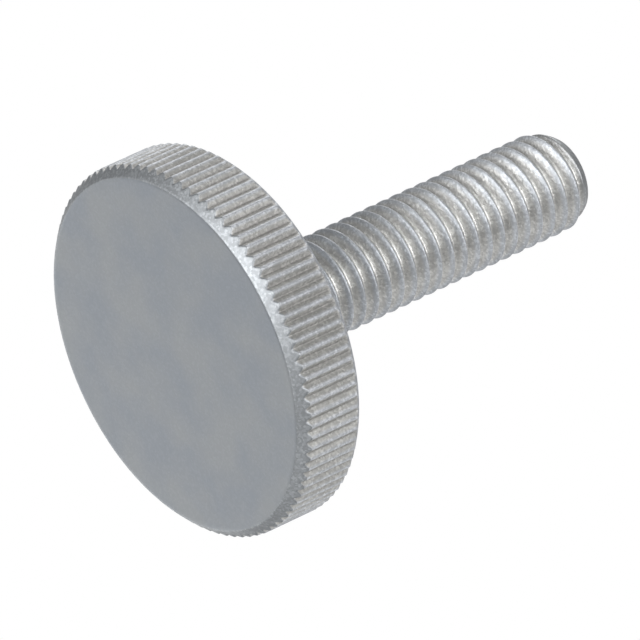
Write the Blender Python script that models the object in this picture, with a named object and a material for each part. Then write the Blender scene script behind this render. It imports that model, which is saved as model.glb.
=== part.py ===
"""Knurled thumb screw, turned from one bar, with a straight knurl and an M8 thread.

It stands on its head: the origin is the middle of the head's flat outer face, and +Z runs
along the axis to the tip. Lengths are in metres and angles in radians.
"""

import math

import bmesh
import bpy

# Head
HEAD_DIAMETER = 0.0297
HEAD_HEIGHT = 0.00575
FRONT_CHAMFER = 0.0008
REAR_CHAMFER = 0.0005

# Straight knurl round the head
TOOTH_COUNT = 94
TOOTH_DEPTH = 0.00036
TOOTH_LAND = 0.00024
TOOTH_GAP = 0.00014
TOOTH_CENTRE = math.radians(-90.24)

# Neck between the head and the thread
NECK_LENGTH = 0.0016
NECK_FILLET = 0.0004
FILLET_SEGMENTS = 4

# Right-hand thread
SHANK_LENGTH = 0.0324
THREAD_DIAMETER = 0.00795
THREAD_PITCH = 0.00125
THREAD_SEGMENTS = 32
CREST_HEIGHT = 0.000515

# Tip
TIP_CHAMFER_LENGTH = 0.0014
TIP_CHAMFER_ANGLE = math.radians(30.0)

# Metric thread form, as shares of the pitch
CREST_SHARE = 1.0 / 8.0
DEPTH_SHARE = 0.6134
PITCH_DIAMETER_SHARE = 0.6495
FLANK_ANGLE = math.radians(30.0)

# Facets round the neck and the tip, turned a little so that no edge of theirs meets a thread edge
TURNED_SEGMENTS = 64
TURNED_START = math.tau / TURNED_SEGMENTS / 4

# How far one solid reaches into or past another before they are joined or trimmed
OVERLAP = 0.0005
MERGE_DISTANCE = 1e-6

STEEL_COLOUR = (0.56, 0.57, 0.58, 1.0)
STEEL_ROUGHNESS = 0.45

head_radius = HEAD_DIAMETER / 2
crest_radius = THREAD_DIAMETER / 2
root_radius = crest_radius - DEPTH_SHARE * THREAD_PITCH
neck_radius = crest_radius - PITCH_DIAMETER_SHARE * THREAD_PITCH / 2
thread_start = HEAD_HEIGHT + NECK_LENGTH
tip_height = HEAD_HEIGHT + SHANK_LENGTH


def clear_scene():
    """Removes every object, so that the file holds the screw alone."""
    for obj in list(bpy.data.objects):
        bpy.data.objects.remove(obj, do_unlink=True)


def blasted_steel():
    """Stainless steel, bead blasted to a matt grey."""
    material = bpy.data.materials.new("blasted_stainless_steel")
    material.use_nodes = True
    shader = material.node_tree.nodes["Principled BSDF"]
    shader.inputs["Base Color"].default_value = STEEL_COLOUR
    shader.inputs["Metallic"].default_value = 1.0
    shader.inputs["Roughness"].default_value = STEEL_ROUGHNESS
    return material


def add_object(name, mesh_data, material):
    """Turns a finished bmesh into a smooth-shaded object with sharp edges kept sharp."""
    bmesh.ops.recalc_face_normals(mesh_data, faces=mesh_data.faces)
    mesh = bpy.data.meshes.new(name)
    mesh_data.to_mesh(mesh)
    mesh_data.free()
    mesh.shade_smooth()
    mesh.set_sharp_from_angle(angle=FLANK_ANGLE)
    mesh.materials.append(material)
    obj = bpy.data.objects.new(name, mesh)
    bpy.context.scene.collection.objects.link(obj)
    return obj


def make_helper(obj):
    """A solid that only shapes the screw: it is drawn as wires and left out of a render."""
    obj.hide_render = True
    obj.display_type = "WIRE"
    return obj


def combine(obj, other, operation):
    """Joins the other solid to the object, or keeps only what both hold."""
    modifier = obj.modifiers.new(f"{operation.lower()}_{other.name}", "BOOLEAN")
    modifier.operation = operation
    modifier.solver = "EXACT"
    modifier.object = other


def polar(radius, angle, height):
    return (radius * math.cos(angle), radius * math.sin(angle), height)


def turned(name, profile, segments, start_angle, material):
    """Turns an outline of (radius, height) points, which starts and ends on the axis."""
    mesh_data = bmesh.new()
    points = [mesh_data.verts.new(polar(radius, start_angle, height)) for radius, height in profile]
    edges = [mesh_data.edges.new(pair) for pair in zip(points, points[1:])]
    bmesh.ops.spin(
        mesh_data, geom=points + edges, cent=(0, 0, 0), axis=(0, 0, 1), angle=math.tau, steps=segments
    )
    bmesh.ops.remove_doubles(mesh_data, verts=mesh_data.verts, dist=MERGE_DISTANCE)
    return add_object(name, mesh_data, material)


def knurled_disc(name, material):
    """The head's toothed outline, extruded over its whole height."""
    pitch_angle = math.tau / TOOTH_COUNT
    land_angle = TOOTH_LAND / head_radius
    gap_radius = head_radius - TOOTH_DEPTH
    gap_angle = TOOTH_GAP / gap_radius
    mesh_data = bmesh.new()
    outline = []
    for tooth in range(TOOTH_COUNT):
        centre = TOOTH_CENTRE + tooth * pitch_angle
        valley = centre + pitch_angle / 2
        outline += [
            mesh_data.verts.new(polar(head_radius, centre - land_angle / 2, 0)),
            mesh_data.verts.new(polar(head_radius, centre + land_angle / 2, 0)),
            mesh_data.verts.new(polar(gap_radius, valley - gap_angle / 2, 0)),
            mesh_data.verts.new(polar(gap_radius, valley + gap_angle / 2, 0)),
        ]
    face = mesh_data.faces.new(outline)
    extruded = bmesh.ops.extrude_face_region(mesh_data, geom=[face])["geom"]
    top = [item for item in extruded if isinstance(item, bmesh.types.BMVert)]
    bmesh.ops.translate(mesh_data, verts=top, vec=(0, 0, HEAD_HEIGHT))
    return add_object(name, mesh_data, material)


def head_envelope(material):
    """The turned disc that gives the knurled head its two chamfers."""
    past = head_radius + OVERLAP
    profile = [
        (0, 0),
        (head_radius - FRONT_CHAMFER, 0),
        (past, FRONT_CHAMFER + OVERLAP),
        (past, HEAD_HEIGHT - REAR_CHAMFER - OVERLAP),
        (head_radius - REAR_CHAMFER, HEAD_HEIGHT),
        (0, HEAD_HEIGHT),
    ]
    first_valley = TOOTH_CENTRE + math.pi / TOOTH_COUNT
    return make_helper(turned("head_envelope", profile, TOOTH_COUNT, first_valley, material))


def neck(material):
    """The plain neck that the thread runs out to, with a fillet where it leaves the head."""
    fillet = []
    for step in range(FILLET_SEGMENTS + 1):
        turn = step / FILLET_SEGMENTS * math.pi / 2
        radius = neck_radius + NECK_FILLET * (1 - math.sin(turn))
        fillet.append((radius, HEAD_HEIGHT + NECK_FILLET * (1 - math.cos(turn))))
    # The first facet runs on below the bearing face, so that it crosses the face cleanly.
    sunk = tuple(2 * at_face - above for at_face, above in zip(fillet[0], fillet[1]))
    run_out = neck_radius - root_radius + OVERLAP
    profile = [(0, HEAD_HEIGHT - OVERLAP), (sunk[0], HEAD_HEIGHT - OVERLAP), sunk]
    profile += fillet[1:]
    profile += [
        (neck_radius, thread_start),
        (neck_radius - run_out, thread_start + run_out * math.tan(FLANK_ANGLE)),
        (0, thread_start + run_out * math.tan(FLANK_ANGLE)),
    ]
    return make_helper(turned("neck", profile, TURNED_SEGMENTS, TURNED_START, material))


def threaded_bar(material):
    """One pitch of the thread's outline swept along its helix, a turn past the shank each way."""
    crest = CREST_SHARE * THREAD_PITCH
    flank = (crest_radius - root_radius) * math.tan(FLANK_ANGLE)
    outline = [
        (root_radius, -crest / 2 - flank),
        (crest_radius, -crest / 2),
        (crest_radius, crest / 2),
        (root_radius, crest / 2 + flank),
        (root_radius, THREAD_PITCH - crest / 2 - flank),
    ]
    first_turn = math.floor((thread_start - CREST_HEIGHT) / THREAD_PITCH) - 2
    turns = math.ceil((tip_height - CREST_HEIGHT) / THREAD_PITCH) + 1 - first_turn
    lowest = CREST_HEIGHT + first_turn * THREAD_PITCH
    mesh_data = bmesh.new()
    points = [mesh_data.verts.new((radius, 0, lowest + height)) for radius, height in outline]
    edges = [mesh_data.edges.new(pair) for pair in zip(points, points[1:])]
    bmesh.ops.spin(
        mesh_data,
        geom=points + edges,
        cent=(0, 0, 0),
        axis=(0, 0, 1),
        dvec=(0, 0, THREAD_PITCH / THREAD_SEGMENTS),
        angle=turns * math.tau,
        steps=turns * THREAD_SEGMENTS,
    )
    bmesh.ops.remove_doubles(mesh_data, verts=mesh_data.verts, dist=MERGE_DISTANCE)
    close_end(mesh_data, [edge for edge in mesh_data.edges if edge.is_boundary and below_middle(edge)])
    close_end(mesh_data, [edge for edge in mesh_data.edges if edge.is_boundary])
    return make_helper(add_object("threaded_bar", mesh_data, material))


def below_middle(edge):
    return edge.verts[0].co.z < (thread_start + tip_height) / 2


def close_end(mesh_data, rim):
    """Closes an open end of the swept thread with a fan to a point on the axis."""
    extruded = bmesh.ops.extrude_edge_only(mesh_data, edges=rim)["geom"]
    inner = [item for item in extruded if isinstance(item, bmesh.types.BMVert)]
    height = sum(vert.co.z for vert in inner) / len(inner)
    bmesh.ops.pointmerge(mesh_data, verts=inner, merge_co=(0, 0, height))


def shank_envelope(material):
    """The turned outline that starts the thread at the neck and chamfers it at the tip."""
    past = crest_radius + OVERLAP
    start = thread_start - OVERLAP / 5
    tip_radius = crest_radius - TIP_CHAMFER_LENGTH * math.tan(TIP_CHAMFER_ANGLE)
    chamfer_start = tip_height - TIP_CHAMFER_LENGTH - OVERLAP / math.tan(TIP_CHAMFER_ANGLE)
    core = root_radius - OVERLAP
    profile = [
        (0, start - (neck_radius - core)),
        (core, start - (neck_radius - core)),
        (past, start + (past - neck_radius)),
        (past, chamfer_start),
        (tip_radius, tip_height),
        (0, tip_height),
    ]
    return make_helper(turned("shank_envelope", profile, TURNED_SEGMENTS, TURNED_START, material))


def thumb_screw():
    """Knurls and chamfers the head, then joins the neck and the trimmed thread to it."""
    steel = blasted_steel()
    shank = threaded_bar(steel)
    combine(shank, shank_envelope(steel), "INTERSECT")
    screw = knurled_disc("thumb_screw", steel)
    combine(screw, head_envelope(steel), "INTERSECT")
    combine(screw, neck(steel), "UNION")
    combine(screw, shank, "UNION")
    return screw


def main():
    clear_scene()
    thumb_screw()


main()
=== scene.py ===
"""Knurled thumb screw in bead-blasted stainless steel, on a plain studio stage.

The screw stands on its head: the head's outer face lies at height zero and the thread rises
along +Z. Lengths are in metres and angles in radians.
"""

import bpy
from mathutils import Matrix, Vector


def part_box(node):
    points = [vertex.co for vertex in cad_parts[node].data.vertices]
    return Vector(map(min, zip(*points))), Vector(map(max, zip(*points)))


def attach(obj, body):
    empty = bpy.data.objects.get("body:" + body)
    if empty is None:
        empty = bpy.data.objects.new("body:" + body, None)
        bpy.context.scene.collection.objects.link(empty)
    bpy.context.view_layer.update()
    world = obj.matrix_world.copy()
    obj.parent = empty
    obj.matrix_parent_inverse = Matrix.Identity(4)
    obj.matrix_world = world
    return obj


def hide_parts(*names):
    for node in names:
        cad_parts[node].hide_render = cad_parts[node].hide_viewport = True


bl_info = {
    "name": "Knurled Thumb Screw",
    "version": (1, 0, 0),
    "blender": (4, 5, 0),
    "location": "3D View > Sidebar > Thumb Screw",
    "description": "Builds a blasted steel thumb screw with a straight knurl and a metric thread",
    "category": "Add Mesh",
}

import math

import bmesh
import bpy
from bpy.props import FloatProperty, FloatVectorProperty, IntProperty, PointerProperty
from mathutils import Matrix, Vector

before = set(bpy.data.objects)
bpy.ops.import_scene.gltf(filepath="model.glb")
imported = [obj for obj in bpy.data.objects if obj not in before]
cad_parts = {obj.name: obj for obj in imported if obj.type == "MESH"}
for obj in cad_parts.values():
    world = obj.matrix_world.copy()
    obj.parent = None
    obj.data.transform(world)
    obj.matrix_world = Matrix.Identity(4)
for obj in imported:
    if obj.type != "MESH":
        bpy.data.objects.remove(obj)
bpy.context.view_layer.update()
cad_low, cad_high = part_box("thumb_screw")

# Fineness of the meshes
TOOTH_COLUMNS = 12
CHAMFER_ROWS = 12
WALL_ROWS = 4
REAR_ROWS = 7
CORNER_ROWS = 3
FILLET_ROWS = 6
THREAD_ROWS = 20

# Turns of the thread's grid that lie below its lower end, and past both its ends together
LOWER_TURNS = 2
SPARE_TURNS = 3

# Width of the ring that keeps a flat face's shading flat beside a soft edge
FLAT_RING = 0.0003

# Radius of the single polygon in the middle of the outer face, as a share of the head's radius
FACE_SHARE = 0.9

# Points closer than this are one point
WELD = 1e-6

# Lean of the thread's flanks, which the chamfer at the tip shares
FLANK_ANGLE = math.radians(30)

# Depth of the thread, width of its crests and how much thinner across the neck is, in pitches
THREAD_DEPTH = 0.6134
CREST_WIDTH = 1 / 8
NECK_STEP = 0.6495

# Height of the soft edge of the flat tip, as a share of the softness of the thread's crests
TIP_EDGE = 1 / 4

# Depths between which a surface's colour changes, as shares of a tooth's or the thread's depth; in the
# knurl's walls and grooves this is painted shade, on the thread's flanks painted light
CHAMFER_DEPTHS = (0.15, 0.4)
WALL_DEPTHS = (1 / 12, 5 / 12)
GROOVE_DEPTHS = (0.7, 0.95)
FLANK_DEPTHS = (1 / 5, 8 / 15)

# Height at which the outer face's finish ends, as a share of its soft edge
FACE_END = 1 / 30

# Height at which the tip's darker colour, a painted shade, starts, as a share of the tip's chamfer
TIP_START = 0.2

# Sizes of the outer face's clouds and of the mottle, and of the dimples in sizes of the grain
CLOUD_SIZE = 0.005
MOTTLE_SIZE = 0.0012
DIMPLE_SIZE = 1.3

# Contrast of the clouds and the dimples, and how far the mottle changes the roughness
PATTERN_CONTRAST = 4
MOTTLE_ROUGHNESS = 0.1

# The chamfer's grain and the outer face's sparkle, as shares of what the rest has
CHAMFER_GRAIN = 0.4
FACE_SPARKLE = 0.2

# Mean of the square of a random value between 0 and 1
SQUARE_MEAN = 1 / 3

# A Mix node's sockets for colours, which share their names with those for other values
MIX_FACTOR = 0
MIX_FIRST = 6
MIX_SECOND = 7
MIX_RESULT = 2

# The photograph's view: a long lens that looks up at the head's outer face
CAMERA_LENS = 787.5
CAMERA_DISTANCE = 1.045
CAMERA_REACH = 10.0
CAMERA_ELEVATION = math.radians(-32.976)
CAMERA_ROLL = math.radians(65.03)
CAMERA_TARGET = (0.00221, 0.0, 0.01297)

WHITE = (1.0, 1.0, 1.0, 1.0)

# Slopes of a mirrored ray between which the studio goes from dim below to bright above
ROOM_EDGE = (-0.35, 0.35)

# How far the floor lies below the head, and where it fades out, as shares of its width
FLOOR_GAP = 0.00005
FLOOR_FADE = (0.2, 0.48)

# Softboxes: where each stands, as right, up and near in the photograph, and its share of power
SOFTBOX_DISTANCE = 1.5
SOFTBOX_WIDTH = 1.1
SOFTBOXES = {
    "front_softbox": ((0.5, 0.05, 0.87), 0.8),
    "left_softbox": ((-0.79, -0.05, 0.61), 0.9),
    "key_softbox": ((-0.52, 0.12, 0.85), 0.7),
    "far_softbox": ((-0.59, -0.37, -0.72), 0.38),
    "low_softbox": ((-0.18, -0.98, 0.1), 0.22),
    "rim_softbox": ((0.75, -0.57, -0.33), 0.2),
    "back_softbox": ((0.08, 0.89, -0.45), 0.34),
}


class Wire:
    """An output socket of a node tree; Python's arithmetic on it adds Math nodes to the tree."""

    def __init__(self, tree, socket=None):
        self.tree = tree
        self.socket = socket

    def node(self, kind, settings=None, sockets=None, output=0):
        """Adds a node, sets it up, feeds its sockets values or wires and returns one output."""
        added = self.tree.nodes.new(kind)
        for name, value in (settings or {}).items():
            setattr(added, name, value)
        for name, value in (sockets or {}).items():
            if isinstance(value, Wire):
                self.tree.links.new(value.socket, added.inputs[name])
            else:
                added.inputs[name].default_value = value
        return Wire(self.tree, added.outputs[output] if len(added.outputs) else None)

    def output(self, name):
        """Another output of the same node."""
        return Wire(self.tree, self.socket.node.outputs[name])

    def __add__(self, other):
        return maths("ADD", self, other)

    def __radd__(self, other):
        return maths("ADD", other, self)

    def __sub__(self, other):
        return maths("SUBTRACT", self, other)

    def __rsub__(self, other):
        return maths("SUBTRACT", other, self)

    def __mul__(self, other):
        return maths("MULTIPLY", self, other)

    def __rmul__(self, other):
        return maths("MULTIPLY", other, self)

    def __truediv__(self, other):
        return maths("DIVIDE", self, other)

    def __rtruediv__(self, other):
        return maths("DIVIDE", other, self)

    def __abs__(self):
        return maths("ABSOLUTE", self)


def maths(operation, *values):
    """A Math node on wires and numbers."""
    wire = next(value for value in values if isinstance(value, Wire))
    return wire.node("ShaderNodeMath", {"operation": operation}, dict(enumerate(values)))


def smooth_min(first, second, softness):
    """The smaller value, with a round passage where the two meet."""
    return maths("SMOOTH_MIN", first, second, softness)


def smooth_max(first, second, softness):
    """The larger value, with a round passage where the two meet."""
    return maths("SMOOTH_MAX", first, second, softness)


def limited(value):
    """A value kept between 0 and 1."""
    return value.node("ShaderNodeClamp", None, {"Value": value})


def grown(value, start, end):
    """Grows evenly from 0 to 1 while the value goes from start to end."""
    sockets = {"Value": value, "From Min": start, "From Max": end}
    return value.node("ShaderNodeMapRange", None, sockets)


def between(value, start, end, first, last):
    """Eases from the first number to the last while the value goes from start to end."""
    sockets = {"Value": value, "From Min": start, "From Max": end, "To Min": first, "To Max": last}
    return value.node("ShaderNodeMapRange", {"interpolation_type": "SMOOTHSTEP"}, sockets)


def eased(value):
    """A noise value with more contrast round its middle, kept between 0 and 1."""
    return limited((value - 0.5) * PATTERN_CONTRAST + 0.5)


def noise(place, size, detail):
    """Soft noise with features of about the given size."""
    sockets = {"Vector": place, "Scale": 1 / size, "Detail": detail}
    return place.node("ShaderNodeTexNoise", None, sockets)


def scaled_colour(colour, factor):
    """The colour made lighter or darker by a factor."""
    return colour.node("ShaderNodeVectorMath", {"operation": "SCALE"}, {0: colour, "Scale": factor})


def mixed_colour(factor, first, second):
    """The first colour where the factor is 0, the second where it is 1."""
    sockets = {MIX_FACTOR: factor, MIX_FIRST: first, MIX_SECOND: second}
    return factor.node("ShaderNodeMix", {"data_type": "RGBA"}, sockets, MIX_RESULT)


class HeadSizes(bpy.types.PropertyGroup):
    """Sizes of the knurled head."""

    radius: FloatProperty(
        name="Head Radius",
        description="From the axis to the knurl's crests",
        default=(cad_high.y - cad_low.y) / 2,
        unit="LENGTH",
    )
    height: FloatProperty(
        name="Head Height",
        description="From the outer face to the bearing face",
        default=0.00575,
        unit="LENGTH",
    )
    front_chamfer: FloatProperty(
        name="Front Chamfer",
        description="Width of the chamfer round the outer face",
        default=0.0008,
        unit="LENGTH",
    )
    rear_chamfer: FloatProperty(
        name="Rear Chamfer",
        description="Width of the chamfer round the bearing face",
        default=0.0005,
        unit="LENGTH",
    )
    teeth: IntProperty(
        name="Teeth",
        description="Number of straight knurl teeth round the head",
        default=94,
        min=3,
    )
    tooth_depth: FloatProperty(
        name="Tooth Depth",
        description="From the knurl's crests to its grooves",
        default=0.00036,
        unit="LENGTH",
    )
    tooth_land: FloatProperty(
        name="Tooth Land",
        description="Width of the crest of a tooth",
        default=0.00024,
        unit="LENGTH",
    )
    tooth_gap: FloatProperty(
        name="Tooth Gap",
        description="Width of the bottom of a groove",
        default=0.00014,
        unit="LENGTH",
    )
    tooth_angle: FloatProperty(
        name="Tooth Angle",
        description="Where round the axis the middle of one tooth lies",
        default=math.radians(-90.24),
        subtype="ANGLE",
    )
    soft_edge: FloatProperty(
        name="Soft Edge",
        description="How far the edges of the head are rounded",
        default=0.00009,
        unit="LENGTH",
    )
    soft_tooth: FloatProperty(
        name="Soft Tooth",
        description="How far the crests and the grooves of the knurl are rounded",
        default=0.00035,
        unit="LENGTH",
    )


class ShankSizes(bpy.types.PropertyGroup):
    """Sizes of the neck, the thread and the tip."""

    tip_height: FloatProperty(
        name="Tip Height",
        description="From the head's outer face to the tip",
        default=cad_high.z,
        unit="LENGTH",
    )
    crest_radius: FloatProperty(
        name="Crest Radius",
        description="From the axis to the thread's crests",
        default=0.003975,
        unit="LENGTH",
    )
    pitch: FloatProperty(
        name="Pitch",
        description="Distance from one crest of the thread to the next",
        default=0.00125,
        unit="LENGTH",
    )
    crest_height: FloatProperty(
        name="Crest Height",
        description="Height of a crest on the +X side, give or take whole pitches",
        default=0.000515,
        unit="LENGTH",
    )
    neck_length: FloatProperty(
        name="Neck Length",
        description="Plain length between the bearing face and the thread",
        default=0.0016,
        unit="LENGTH",
    )
    neck_fillet: FloatProperty(
        name="Neck Fillet",
        description="Radius of the fillet where the neck leaves the head",
        default=0.0004,
        unit="LENGTH",
    )
    tip_chamfer: FloatProperty(
        name="Tip Chamfer",
        description="Length of the chamfer at the tip, along the axis",
        default=0.0014,
        unit="LENGTH",
    )
    soft_crest: FloatProperty(
        name="Soft Crest",
        description="How far the edges of the thread's crests are rounded",
        default=0.0004,
        unit="LENGTH",
    )
    soft_root: FloatProperty(
        name="Soft Root",
        description="How far the edges of the thread's roots are rounded",
        default=0.0004,
        unit="LENGTH",
    )


class SteelLook(bpy.types.PropertyGroup):
    """Colours and grain of the blasted steel, whose surfaces get lighter and darker colours as painted
    light and shade.
    """

    # Both of the outer face's colours are darker than the rest of the steel, a painted shade; the
    # patches between them lie at random
    cool_face: FloatVectorProperty(
        name="Cool Face",
        description="Bluer patches of the head's outer face",
        default=(0.242, 0.262, 0.287, 1.0),
        size=4,
        subtype="COLOR",
        min=0.0,
        max=1.0,
    )
    warm_face: FloatVectorProperty(
        name="Warm Face",
        description="Greener patches of the head's outer face",
        default=(0.269, 0.283, 0.295, 1.0),
        size=4,
        subtype="COLOR",
        min=0.0,
        max=1.0,
    )
    # The chamfer round the outer face is a darker copy of the steel: painted shade, which also tones
    # down its highlight
    chamfer_painted_shade: FloatVectorProperty(
        name="Chamfer",
        description="Steel of the chamfer round the outer face",
        default=(0.286, 0.3, 0.313, 1.0),
        size=4,
        subtype="COLOR",
        min=0.0,
        max=1.0,
    )
    # The knurl's crests are painted lighter and bluer than its walls: a painted highlight and a cool
    # painted reflection
    crest_painted_highlight: FloatVectorProperty(
        name="Knurl Crests",
        description="Steel of the knurl's brightened crests",
        default=(0.465, 0.482, 0.508, 1.0),
        size=4,
        subtype="COLOR",
        min=0.0,
        max=1.0,
    )
    # The knurl's walls and, darker still, its grooves are painted darker and browner than its crests:
    # painted shade and a warm painted reflection in the recesses
    wall_painted_shade: FloatVectorProperty(
        name="Knurl Walls",
        description="Steel of the walls of the knurl's grooves",
        default=(0.42, 0.417, 0.404, 1.0),
        size=4,
        subtype="COLOR",
        min=0.0,
        max=1.0,
    )
    groove_painted_shade: FloatVectorProperty(
        name="Knurl Grooves",
        description="Steel down in the knurl's grooves",
        default=(0.31, 0.306, 0.295, 1.0),
        size=4,
        subtype="COLOR",
        min=0.0,
        max=1.0,
    )
    # The thread's crests, the flat tip and the bearing face are tinted bluer than the flanks: a cool
    # painted reflection on the steel's colour
    thread_steel_and_sheen: FloatVectorProperty(
        name="Thread Crests",
        description="Steel of the thread's crests, the flat tip and the head's bearing face",
        default=(0.48, 0.5, 0.527, 1.0),
        size=4,
        subtype="COLOR",
        min=0.0,
        max=1.0,
    )
    # The thread's flanks and roots and the neck are painted lighter and warmer than its crests:
    # painted light where the crests and the head shade them, and a warm painted reflection
    flank_painted_light: FloatVectorProperty(
        name="Thread Flanks",
        description="Steel of the thread's flanks and roots and of the neck",
        default=(0.55, 0.547, 0.533, 1.0),
        size=4,
        subtype="COLOR",
        min=0.0,
        max=1.0,
    )
    # The tip's chamfer is painted darker than the thread's crests: painted shade
    tip_painted_shade: FloatVectorProperty(
        name="Tip",
        description="Steel of the chamfer at the tip",
        default=(0.32, 0.33, 0.34, 1.0),
        size=4,
        subtype="COLOR",
        min=0.0,
        max=1.0,
    )
    face_roughness: FloatProperty(
        name="Face Roughness",
        description="Roughness of the head's outer face",
        default=0.4,
        min=0.0,
        max=1.0,
    )
    blasted_roughness: FloatProperty(
        name="Blasted Roughness",
        description="Roughness of all but the outer face and the thread's flanks",
        default=0.54,
        min=0.0,
        max=1.0,
    )
    flank_roughness: FloatProperty(
        name="Flank Roughness",
        description="Roughness of the thread's flanks and roots and of the neck",
        default=0.44,
        min=0.0,
        max=1.0,
    )
    # Random brightness of the facets, whose brightest ones are painted glints
    sparkle: FloatProperty(
        name="Sparkle",
        description="How much the facets left by the blasting differ in brightness",
        default=0.12,
        min=0.0,
        max=1.0,
    )
    grain_size: FloatProperty(
        name="Grain Size",
        description="Size of the dimples that the blasting left",
        default=0.00017,
        unit="LENGTH",
    )
    grain_depth: FloatProperty(
        name="Grain Depth",
        description="Depth of the dimples that the blasting left",
        default=0.00001,
        unit="LENGTH",
    )


class StudioSettings(bpy.types.PropertyGroup):
    """Floor, light and background."""

    floor_colour: FloatVectorProperty(
        name="Floor Colour",
        description="Colour of the plain floor",
        default=(0.8, 0.8, 0.8),
        subtype="COLOR",
        min=0.0,
        max=1.0,
    )
    floor_size: FloatProperty(
        name="Floor Size",
        description="Width of the floor, which fades into the backdrop towards its sides",
        default=3.0,
        unit="LENGTH",
    )
    fill_light: FloatProperty(
        name="Fill Light",
        description="Strength of the even light on the floor",
        default=0.9,
        min=0.0,
    )
    dim_below: FloatProperty(
        name="Dim Below",
        description="Brightness that the steel mirrors from below, where the backdrop is 1",
        default=0.3,
        min=0.0,
        max=1.0,
    )
    bright_above: FloatProperty(
        name="Bright Above",
        description="Brightness that the steel mirrors from above, where the backdrop is 1",
        default=0.5,
        min=0.0,
        max=1.0,
    )
    softbox_power: FloatProperty(
        name="Softbox Power",
        description="Power of which each softbox has its share",
        default=20.0,
        unit="POWER",
        min=0.0,
    )


def polar(radius, angle, height):
    """The point at a radius from the axis, an angle round it and a height along it."""
    return Vector((radius * math.cos(angle), radius * math.sin(angle), height))


def rounded_corner(before, corner, after, reach):
    """Points of a soft corner, which starts and ends the given reach away from it."""
    start = corner + (before - corner).normalized() * reach
    end = corner + (after - corner).normalized() * reach
    shares = [step / CORNER_ROWS for step in range(CORNER_ROWS + 1)]
    return [start.lerp(corner, share).lerp(corner.lerp(end, share), share) for share in shares]


def divided(start, end, spans):
    """Points that divide a straight run into equal spans, without its two ends."""
    return [start.lerp(end, step / spans) for step in range(1, spans)]


def rim_outline(head):
    """Section of the head's rim, from its outer face round to its bearing face.

    The wall lies just past the teeth, so that the knurl alone shapes it there.
    """
    wall = head.radius + head.soft_edge
    front = Vector((head.radius - head.front_chamfer, 0.0))
    rear = Vector((head.radius - head.rear_chamfer, head.height))
    front_end = Vector((wall, wall - front.x))
    rear_end = Vector((wall, head.height - (wall - rear.x)))
    inside_front = front - Vector((FLAT_RING, 0.0))
    inside_rear = rear - Vector((FLAT_RING, 0.0))
    front_corner = rounded_corner(inside_front, front, front_end, head.soft_edge)
    rear_corner = rounded_corner(rear_end, rear, inside_rear, head.soft_edge)
    return [
        inside_front,
        *front_corner,
        *divided(front_corner[-1], front_end, CHAMFER_ROWS),
        front_end,
        *divided(front_end, rear_end, WALL_ROWS),
        rear_end,
        *divided(rear_end, rear_corner[0], REAR_ROWS),
        *rear_corner,
        inside_rear,
    ]


def outline_mesh(points):
    """An outline of (radius, height) points as a chain of edges."""
    mesh = bpy.data.meshes.new("rim_outline")
    edges = [(step, step + 1) for step in range(len(points) - 1)]
    mesh.from_pydata([(point.x, 0.0, point.y) for point in points], edges, [])
    return mesh


def new_tree(name, inputs):
    """A Geometry Nodes tree with a named input for each size, and the wires of its inputs."""
    tree = bpy.data.node_groups.new(name, "GeometryNodeTree")
    tree.interface.new_socket(name="Outline", in_out="INPUT", socket_type="NodeSocketGeometry")
    for label, value in inputs.items():
        if isinstance(value, bpy.types.Material):
            kind = "NodeSocketMaterial"
        elif isinstance(value, int):
            kind = "NodeSocketInt"
        else:
            kind = "NodeSocketFloat"
        tree.interface.new_socket(name=label, in_out="INPUT", socket_type=kind)
    tree.interface.new_socket(name="Mesh", in_out="OUTPUT", socket_type="NodeSocketGeometry")
    entry = Wire(tree).node("NodeGroupInput")
    return tree, {label: entry.output(label) for label in (*inputs, "Outline")}


def grid_places(rows, columns):
    """A flat grid, and the row and column of each of its points as wires."""
    grid = rows.node("GeometryNodeMeshGrid", None, {"Vertices X": columns, "Vertices Y": rows})
    index = rows.node("GeometryNodeInputIndex")
    column = maths("FLOOR", (index + 0.5) / rows)
    return grid, index - column * rows, column


def moved_to(grid, radius, angle, height):
    """The grid with its points at the given radius, angle and height."""
    across = {"X": radius * maths("COSINE", angle), "Y": radius * maths("SINE", angle), "Z": height}
    place = grid.node("ShaderNodeCombineXYZ", None, across)
    return grid.node("GeometryNodeSetPosition", None, {"Geometry": grid, "Position": place})


def finish_tree(geometry, material):
    """Ends a tree: real geometry in the given material."""
    real = geometry.node("GeometryNodeRealizeInstances", None, {"Geometry": geometry})
    steel = real.node("GeometryNodeSetMaterial", None, {"Geometry": real, "Material": material})
    steel.node("NodeGroupOutput", None, {"Mesh": steel})


def run_tree(tree, inputs, outline):
    """Runs a tree on an outline and returns the plain mesh that it makes."""
    holder = bpy.data.objects.new(tree.name, outline)
    bpy.context.scene.collection.objects.link(holder)
    modifier = holder.modifiers.new(tree.name, "NODES")
    modifier.node_group = tree
    for item in tree.interface.items_tree:
        if item.name in inputs:
            modifier[item.identifier] = inputs[item.name]
    evaluated = holder.evaluated_get(bpy.context.evaluated_depsgraph_get())
    mesh = bpy.data.meshes.new_from_object(evaluated)
    bpy.data.objects.remove(holder)
    return mesh


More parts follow.
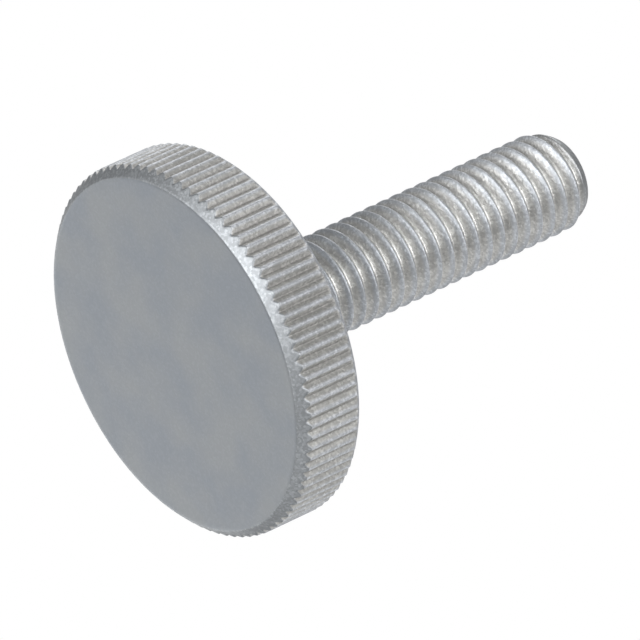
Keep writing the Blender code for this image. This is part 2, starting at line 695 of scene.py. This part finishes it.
def knurled_rim(head, material):
    """The toothed rim of the head: one tooth, repeated round the axis."""
    inputs = {
        "Teeth": head.teeth,
        "Radius": head.radius,
        "Depth": head.tooth_depth,
        "Land": head.tooth_land,
        "Gap": head.tooth_gap,
        "Tooth Angle": head.tooth_angle,
        "Soft Edge": head.soft_edge,
        "Soft Tooth": head.soft_tooth,
        "Columns": TOOTH_COLUMNS,
        "Material": material,
    }
    tree, size = new_tree("knurled_rim", inputs)
    outline = size["Outline"]
    rows = outline.node("GeometryNodeAttributeDomainSize", None, {"Geometry": outline})
    grid, row, column = grid_places(rows, size["Columns"] + 1)

    # Place of each row on the outline
    position = outline.node("GeometryNodeInputPosition")
    sampled = outline.node(
        "GeometryNodeSampleIndex",
        {"data_type": "FLOAT_VECTOR"},
        {"Geometry": outline, "Value": position, "Index": row},
    )
    envelope = sampled.node("ShaderNodeSeparateXYZ", None, {"Vector": sampled})
    height = envelope.output("Z")

    # One tooth: a land in its middle, then a straight flank and half a gap on each side
    step = math.tau / size["Teeth"]
    angle = (column / size["Columns"] - 0.5) * step
    bottom = size["Radius"] - size["Depth"]
    land = size["Land"] / size["Radius"] / 2
    gap = step / 2 - size["Gap"] / bottom / 2
    flank = size["Radius"] - size["Depth"] * (abs(angle) - land) / (gap - land)
    tooth = smooth_min(size["Radius"], flank, size["Soft Tooth"])
    tooth = smooth_max(bottom, tooth, size["Soft Tooth"])
    radius = smooth_min(envelope, tooth, size["Soft Edge"])
    sector = moved_to(grid, radius, angle, height)

    # The tooth repeated round the axis
    points = outline.node("GeometryNodePoints", None, {"Count": size["Teeth"]})
    index = outline.node("GeometryNodeInputIndex")
    turn = outline.node("ShaderNodeCombineXYZ", None, {"Z": size["Tooth Angle"] + index * step})
    copies = outline.node(
        "GeometryNodeInstanceOnPoints",
        None,
        {"Points": points, "Instance": sector, "Rotation": turn},
    )
    finish_tree(copies, size["Material"])
    return run_tree(tree, inputs, outline_mesh(rim_outline(head)))


def shank_sizes(shank):
    """The depth of the metric thread form, and the radius of the neck that it runs out to."""
    depth = THREAD_DEPTH * shank.pitch
    neck_radius = shank.crest_radius - NECK_STEP * shank.pitch / 2
    return depth, neck_radius


def tip_edge(shank):
    """The height where the tip's chamfer gives way to its soft edge, and the flat tip's radius."""
    tip_radius = shank.crest_radius - shank.tip_chamfer * math.tan(FLANK_ANGLE)
    return shank.tip_height - shank.soft_crest * TIP_EDGE, tip_radius


def threaded_shank(head, shank, material):
    """The neck, the helical thread and the tip's chamfer, as one open tube.

    It has a column for each knurl groove, in line with it, so that the two join evenly.
    """
    depth, neck_radius = shank_sizes(shank)
    bottom = head.height + shank.neck_fillet
    top, _ = tip_edge(shank)
    inputs = {
        "Columns": head.teeth,
        "First Turn": (head.tooth_angle / math.tau + 0.5 / head.teeth) % 1.0,
        "Rows per Pitch": THREAD_ROWS,
        "Turns": math.ceil((top - bottom) / shank.pitch) + SPARE_TURNS,
        "Pitch": shank.pitch,
        "Crest Height": shank.crest_height,
        "Crest Radius": shank.crest_radius,
        "Thread Depth": depth,
        "Neck Radius": neck_radius,
        "Thread Start": head.height + shank.neck_length,
        "Bottom": bottom,
        "Top": top,
        "Tip Height": shank.tip_height,
        "Tip Chamfer": shank.tip_chamfer,
        "Soft Crest": shank.soft_crest,
        "Soft Root": shank.soft_root,
        "Material": material,
    }
    tree, size = new_tree("threaded_shank", inputs)
    pitch = size["Pitch"]
    rows = size["Turns"] * size["Rows per Pitch"] + 1
    grid, row, column = grid_places(rows, size["Columns"] + 1)

    # The rows follow the helix, and those past an end gather in a ring there
    turn = column / size["Columns"] + size["First Turn"]
    phase = maths("FRACT", (size["Bottom"] - size["Crest Height"]) / pitch)
    lowest = size["Bottom"] - (phase + LOWER_TURNS) * pitch
    free_height = lowest + (row / size["Rows per Pitch"] + turn) * pitch
    height = maths("MINIMUM", maths("MAXIMUM", free_height, size["Bottom"]), size["Top"])

    # Metric thread form: flat crests between straight flanks, down to the root
    crests = (height - size["Crest Height"]) / pitch - turn
    from_crest = abs(crests - maths("ROUND", crests)) * pitch
    steepness = 1 / math.tan(FLANK_ANGLE)
    flank = size["Crest Radius"] - (from_crest - pitch * (CREST_WIDTH / 2)) * steepness
    thread = smooth_min(size["Crest Radius"], flank, size["Soft Crest"])
    thread = smooth_max(size["Crest Radius"] - size["Thread Depth"], thread, size["Soft Root"])

    # The thread runs out into the neck at one end and into the chamfer at the other
    run_in = size["Neck Radius"] + (height - size["Thread Start"])
    thread = smooth_min(thread, run_in, size["Soft Crest"])
    neck = size["Neck Radius"] - (height - size["Thread Start"]) * steepness
    neck = smooth_min(neck, size["Neck Radius"], size["Soft Root"])
    thread = smooth_max(thread, neck, size["Soft Crest"])
    below_tip = size["Tip Height"] - size["Tip Chamfer"] - height
    chamfer = size["Crest Radius"] + below_tip / steepness
    radius = smooth_min(thread, chamfer, size["Soft Crest"])
    finish_tree(moved_to(grid, radius, turn * math.tau, height), size["Material"])
    return run_tree(tree, inputs, bpy.data.meshes.new("no_outline"))


def bearing(vert):
    """The angle round the axis at which a point lies."""
    return math.atan2(vert.co.y, vert.co.x)


def open_circle(mesh_data, height):
    """The points of the mesh's open edges at a height, in order round the axis."""
    verts = {
        vert
        for edge in mesh_data.edges
        if edge.is_boundary and all(abs(end.co.z - height) < WELD for end in edge.verts)
        for vert in edge.verts
    }
    return sorted(verts, key=bearing)


def grow(mesh_data, circle, radius, height):
    """Adds a band of faces from a circle of points to a new circle, and returns that one."""
    new_circle = [mesh_data.verts.new(polar(radius, bearing(vert), height)) for vert in circle]
    for step, vert in enumerate(circle):
        mesh_data.faces.new((circle[step - 1], vert, new_circle[step], new_circle[step - 1]))
    return new_circle


def fill_ring(mesh_data, inner, outer):
    """Fills the flat ring between two circles of points, with one face for each inner span."""
    share = len(outer) // len(inner)

    # The outer point in line with the first inner one
    first = min(range(len(outer)), key=lambda step: abs(bearing(outer[step]) - bearing(inner[0])))
    for step, vert in enumerate(inner):
        start = first + step * share
        arc = [outer[point % len(outer)] for point in range(start, start + share + 1)]
        mesh_data.faces.new([vert, *arc, inner[(step + 1) % len(inner)]])


def join_to_head(mesh_data, head, shank):
    """Carries the neck through its fillet onto the bearing face."""
    _, neck_radius = shank_sizes(shank)
    rim = open_circle(mesh_data, head.height)
    circle = open_circle(mesh_data, head.height + shank.neck_fillet)
    for step in range(FILLET_ROWS - 1, -1, -1):
        turn = step / FILLET_ROWS * math.pi / 2
        radius = neck_radius + shank.neck_fillet * (1 - math.sin(turn))
        height = head.height + shank.neck_fillet * (1 - math.cos(turn))
        circle = grow(mesh_data, circle, radius, height)
    circle = grow(mesh_data, circle, neck_radius + shank.neck_fillet + FLAT_RING, head.height)
    fill_ring(mesh_data, circle, rim)


def close_outer_face(mesh_data, head):
    """Closes the head's flat outer face."""
    rim = open_circle(mesh_data, 0.0)
    inner = [
        mesh_data.verts.new(polar(head.radius * FACE_SHARE, bearing(vert), 0.0))
        for vert in rim[:: len(rim) // head.teeth]
    ]
    fill_ring(mesh_data, inner, rim)
    mesh_data.faces.new(inner)


def close_tip(mesh_data, shank):
    """Closes the tip with a soft edge and a flat end."""
    top, tip_radius = tip_edge(shank)
    circle = open_circle(mesh_data, top)
    circle = grow(mesh_data, circle, tip_radius - (shank.tip_height - top), shank.tip_height)
    circle = grow(mesh_data, circle, tip_radius - FLAT_RING, shank.tip_height)
    mesh_data.faces.new(circle)


def screw_zones(place, head, shank):
    """Masks for the screw's surfaces, worked out from the place of a point on it."""
    x = place.node("ShaderNodeSeparateXYZ", None, {"Vector": place})
    y = x.output("Y")
    z = x.output("Z")
    radius = maths("SQRT", x * x + y * y)
    depth, _ = shank_sizes(shank)

    # Depth below the head as it was before the knurl was cut, and below the thread's crests
    front = head.radius - head.front_chamfer + z
    rear = head.radius - head.rear_chamfer + head.height - z
    turned = maths("MINIMUM", maths("MINIMUM", front, rear), head.radius)
    below_turned = (turned - radius) / head.tooth_depth
    below_crests = (shank.crest_radius - radius) / depth

    # Shaped is all but the outer face, and the head ends half way up its rear chamfer
    zones = {}
    zones["shaped"] = maths("GREATER_THAN", z, head.soft_edge * FACE_END)
    on_head = maths("LESS_THAN", z, head.height - head.rear_chamfer / 2)
    in_chamfer = maths("LESS_THAN", z, head.front_chamfer) * (1 - grown(below_turned, *CHAMFER_DEPTHS))
    zones["chamfer"] = in_chamfer * zones["shaped"]
    zones["knurl"] = on_head * zones["shaped"] * (1 - in_chamfer)
    # Painted shade: the walls of the knurl, and darker still its grooves
    zones["knurl_wall"] = zones["knurl"] * grown(below_turned, *WALL_DEPTHS)
    zones["knurl_groove"] = zones["knurl"] * grown(below_turned, *GROOVE_DEPTHS)
    zones["shank"] = 1 - on_head
    below_end = maths("LESS_THAN", z, shank.tip_height - WELD)
    # Painted light on the thread's flanks and roots, which also get their own roughness
    zones["flank"] = zones["shank"] * below_end * grown(below_crests, *FLANK_DEPTHS)

    # The chamfer at the tip, from a little above its lower end, which is painted darker as painted
    # shade
    slope = shank.crest_radius + (shank.tip_height - shank.tip_chamfer - z) * math.tan(FLANK_ANGLE)
    on_slope = limited(1 - abs(slope - radius) / shank.soft_crest)
    tip_start = shank.tip_height - shank.tip_chamfer * (1 - TIP_START)
    zones["tip"] = on_slope * maths("GREATER_THAN", z, tip_start)
    return zones


def blasted_steel(look, head, shank):
    """Bead-blasted stainless steel: satin and cloudy on the outer face, grainy elsewhere, with painted
    light and shade in its surfaces' colours.
    """
    material = bpy.data.materials.new("blasted_stainless_steel")
    material.use_nodes = True
    tree = material.node_tree
    tree.nodes.clear()
    place = Wire(tree).node("ShaderNodeTexCoord", output="Object")
    zones = screw_zones(place, head, shank)
    shaped = zones["shaped"]

    clouds = noise(place, CLOUD_SIZE, detail=2)
    mottle = noise(place, MOTTLE_SIZE, detail=3)
    dimples = noise(place, look.grain_size * DIMPLE_SIZE, detail=1)
    sockets = {"Vector": place, "Scale": 1 / look.grain_size}
    facets = place.node("ShaderNodeTexVoronoi", None, sockets, "Color")
    facets = facets.node("ShaderNodeSeparateColor", None, {"Color": facets})

    # Each surface's colour covers those before it; these colours are lighter and darker copies of the
    # one steel, painted light and shade
    zone_colours = {
        "chamfer": look.chamfer_painted_shade,
        "knurl": look.crest_painted_highlight,
        "knurl_wall": look.wall_painted_shade,
        "knurl_groove": look.groove_painted_shade,
        "shank": look.thread_steel_and_sheen,
        "flank": look.flank_painted_light,
        "tip": look.tip_painted_shade,
    }
    # The outer face: random patches of two colours, both darkened as painted shade
    colour = mixed_colour(eased(clouds), look.cool_face, look.warm_face)
    for zone, zone_colour in zone_colours.items():
        colour = mixed_colour(zones[zone], colour, zone_colour)

    # Few facets are bright, because their random value is squared: random tone, with the bright facets
    # as painted glints
    brightness = facets * facets / SQUARE_MEAN - 1
    sparkle = (shaped * (1 - FACE_SPARKLE) + FACE_SPARKLE) * look.sparkle
    colour = scaled_colour(colour, 1 + brightness * sparkle)
    roughness = look.face_roughness + (look.blasted_roughness - look.face_roughness) * shaped
    roughness = roughness + (look.flank_roughness - look.blasted_roughness) * zones["flank"]
    roughness = roughness + (mottle - 0.5) * MOTTLE_ROUGHNESS
    grain = eased(dimples) * (shaped - zones["chamfer"] * (1 - CHAMFER_GRAIN))
    bump = place.node(
        "ShaderNodeBump",
        None,
        {"Height": grain, "Distance": look.grain_depth, "Strength": 1.0},
    )
    shader = place.node(
        "ShaderNodeBsdfPrincipled",
        None,
        {"Base Color": colour, "Metallic": 1.0, "Roughness": roughness, "Normal": bump},
    )
    shader.node("ShaderNodeOutputMaterial", None, {"Surface": shader})
    return material


def build_screw(head, shank, look):
    """Makes the whole screw as one closed piece that stands for the CAD solid."""
    steel = blasted_steel(look, head, shank)
    mesh_data = bmesh.new()
    for mesh in (knurled_rim(head, steel), threaded_shank(head, shank, steel)):
        mesh_data.from_mesh(mesh)
        bpy.data.meshes.remove(mesh)
    bmesh.ops.remove_doubles(mesh_data, verts=mesh_data.verts, dist=WELD)
    join_to_head(mesh_data, head, shank)
    close_outer_face(mesh_data, head)
    close_tip(mesh_data, shank)
    bmesh.ops.recalc_face_normals(mesh_data, faces=mesh_data.faces)
    mesh = bpy.data.meshes.new("knurled_thumb_screw")
    mesh_data.to_mesh(mesh)
    mesh_data.free()
    mesh.shade_smooth()
    mesh.materials.append(steel)
    screw = bpy.data.objects.new("knurled_thumb_screw", mesh)
    bpy.context.scene.collection.objects.link(screw)
    return screw


class THUMBSCREW_OT_screw(bpy.types.Operator):
    """Build the knurled and threaded screw"""

    bl_idname = "thumbscrew.screw"
    bl_label = "Thumb Screw"

    def execute(self, context):
        scene = context.scene
        screw = build_screw(scene.thumbscrew_head, scene.thumbscrew_shank, scene.thumbscrew_steel)
        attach(screw, "root")
        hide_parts("thumb_screw")
        return {"FINISHED"}


def camera_frame():
    """The directions to the right of, up from and towards the camera."""
    towards = Vector((0.0, -math.cos(CAMERA_ELEVATION), math.sin(CAMERA_ELEVATION)))
    level = Vector((1.0, 0.0, 0.0))
    upright = towards.cross(level)
    right = level * math.cos(CAMERA_ROLL) + upright * math.sin(CAMERA_ROLL)
    return right, towards.cross(right), towards


def add_camera():
    """The photograph's camera."""
    right, up, towards = camera_frame()
    camera = bpy.data.objects.new("camera", bpy.data.cameras.new("camera"))
    camera.data.lens = CAMERA_LENS
    camera.data.clip_end = CAMERA_REACH
    turned = Matrix((right, up, towards)).transposed().to_4x4()
    place = Vector(CAMERA_TARGET) + towards * CAMERA_DISTANCE
    camera.matrix_world = Matrix.Translation(place) @ turned
    bpy.context.scene.collection.objects.link(camera)
    bpy.context.scene.camera = camera


def add_softbox(name, side, power):
    """A square softbox that faces the screw; its side is given in the photograph's frame."""
    direction = sum((axis * share for axis, share in zip(camera_frame(), side)), Vector())
    direction.normalize()
    lamp = bpy.data.lights.new(name, "AREA")
    lamp.size = SOFTBOX_WIDTH
    lamp.energy = power
    softbox = bpy.data.objects.new(name, lamp)
    facing = direction.to_track_quat("Z", "Y").to_matrix().to_4x4()
    softbox.matrix_world = Matrix.Translation(direction * SOFTBOX_DISTANCE) @ facing
    bpy.context.scene.collection.objects.link(softbox)


def add_world(studio):
    """A backdrop that the camera sees white and the steel mirrors dimmer, most so from below."""
    world = bpy.data.worlds.new("studio")
    world.use_nodes = True
    tree = world.node_tree
    tree.nodes.clear()
    seen = Wire(tree).node("ShaderNodeLightPath", output="Is Camera Ray")
    mirrored = limited(seen.output("Is Glossy Ray") + seen.output("Is Transmission Ray"))
    direction = seen.node("ShaderNodeTexCoord", output="Generated")
    slope = seen.node("ShaderNodeSeparateXYZ", None, {"Vector": direction}, "Z")
    room = between(slope, *ROOM_EDGE, studio.dim_below, studio.bright_above)

    # Even light for the floor, the room for the steel and white for the camera
    strength = studio.fill_light + mirrored * (room - studio.fill_light)
    strength = strength + seen * (1 - strength)
    light = seen.node("ShaderNodeBackground", None, {"Color": WHITE, "Strength": strength})
    light.node("ShaderNodeOutputWorld", None, {"Surface": light})
    bpy.context.scene.world = world


def add_floor(studio):
    """A plain pale floor just under the head, clear from below and fading out to its sides."""
    material = bpy.data.materials.new("pale_floor")
    material.use_nodes = True
    tree = material.node_tree
    tree.nodes.clear()
    below = Wire(tree).node("ShaderNodeNewGeometry", output="Backfacing")
    place = below.node("ShaderNodeTexCoord", output="Object")
    distance = place.node("ShaderNodeVectorMath", {"operation": "LENGTH"}, {0: place}, "Value")
    start, end = (share * studio.floor_size for share in FLOOR_FADE)
    open_part = maths("MAXIMUM", below, between(distance, start, end, 0.0, 1.0))
    paint = below.node("ShaderNodeBsdfDiffuse", None, {"Color": (*studio.floor_colour, 1.0)})
    clear = below.node("ShaderNodeBsdfTransparent")
    surface = below.node("ShaderNodeMixShader", None, {0: open_part, 1: paint, 2: clear})
    surface.node("ShaderNodeOutputMaterial", None, {"Surface": surface})
    mesh_data = bmesh.new()
    lowered = Matrix.Translation((0.0, 0.0, cad_low.z - FLOOR_GAP))
    bmesh.ops.create_grid(mesh_data, size=studio.floor_size / 2, matrix=lowered)
    mesh = bpy.data.meshes.new("floor")
    mesh_data.to_mesh(mesh)
    mesh_data.free()
    mesh.materials.append(material)
    floor = bpy.data.objects.new("floor", mesh)

    # Light from below reaches the screw as if the floor weren't there
    floor.visible_diffuse = False
    floor.visible_glossy = False
    floor.visible_transmission = False
    floor.visible_shadow = False
    bpy.context.scene.collection.objects.link(floor)


class THUMBSCREW_OT_stage(bpy.types.Operator):
    """Add the floor, the studio light and the camera"""

    bl_idname = "thumbscrew.stage"
    bl_label = "Studio Stage"

    def execute(self, context):
        studio = context.scene.thumbscrew_studio
        context.scene.view_settings.view_transform = "Standard"
        add_world(studio)
        add_floor(studio)
        for name, (side, share) in SOFTBOXES.items():
            add_softbox(name, side, share * studio.softbox_power)
        add_camera()
        return {"FINISHED"}


class THUMBSCREW_PT_panel(bpy.types.Panel):
    """Sizes and finish of the thumb screw"""

    bl_idname = "THUMBSCREW_PT_panel"
    bl_label = "Thumb Screw"
    bl_space_type = "VIEW_3D"
    bl_region_type = "UI"
    bl_category = "Thumb Screw"

    def draw(self, context):
        for group in PROPERTY_NAMES:
            settings = getattr(context.scene, group)
            box = self.layout.box()
            for name in settings.__annotations__:
                box.prop(settings, name)
        self.layout.operator(THUMBSCREW_OT_screw.bl_idname)
        self.layout.operator(THUMBSCREW_OT_stage.bl_idname)


PROPERTY_NAMES = {
    "thumbscrew_head": HeadSizes,
    "thumbscrew_shank": ShankSizes,
    "thumbscrew_steel": SteelLook,
    "thumbscrew_studio": StudioSettings,
}
CLASSES = (*PROPERTY_NAMES.values(), THUMBSCREW_OT_screw, THUMBSCREW_OT_stage, THUMBSCREW_PT_panel)


def register():
    """Makes the classes and the scene's settings known to Blender."""
    for cls in CLASSES:
        bpy.utils.register_class(cls)
    for name, group in PROPERTY_NAMES.items():
        setattr(bpy.types.Scene, name, PointerProperty(type=group))


def unregister():
    """Takes the settings and the classes away again."""
    for name in PROPERTY_NAMES:
        delattr(bpy.types.Scene, name)
    for cls in reversed(CLASSES):
        bpy.utils.unregister_class(cls)


def main():
    """Builds the screw on its stage."""
    register()
    bpy.ops.thumbscrew.screw()
    bpy.ops.thumbscrew.stage()


if __name__ == "__main__":
    main()
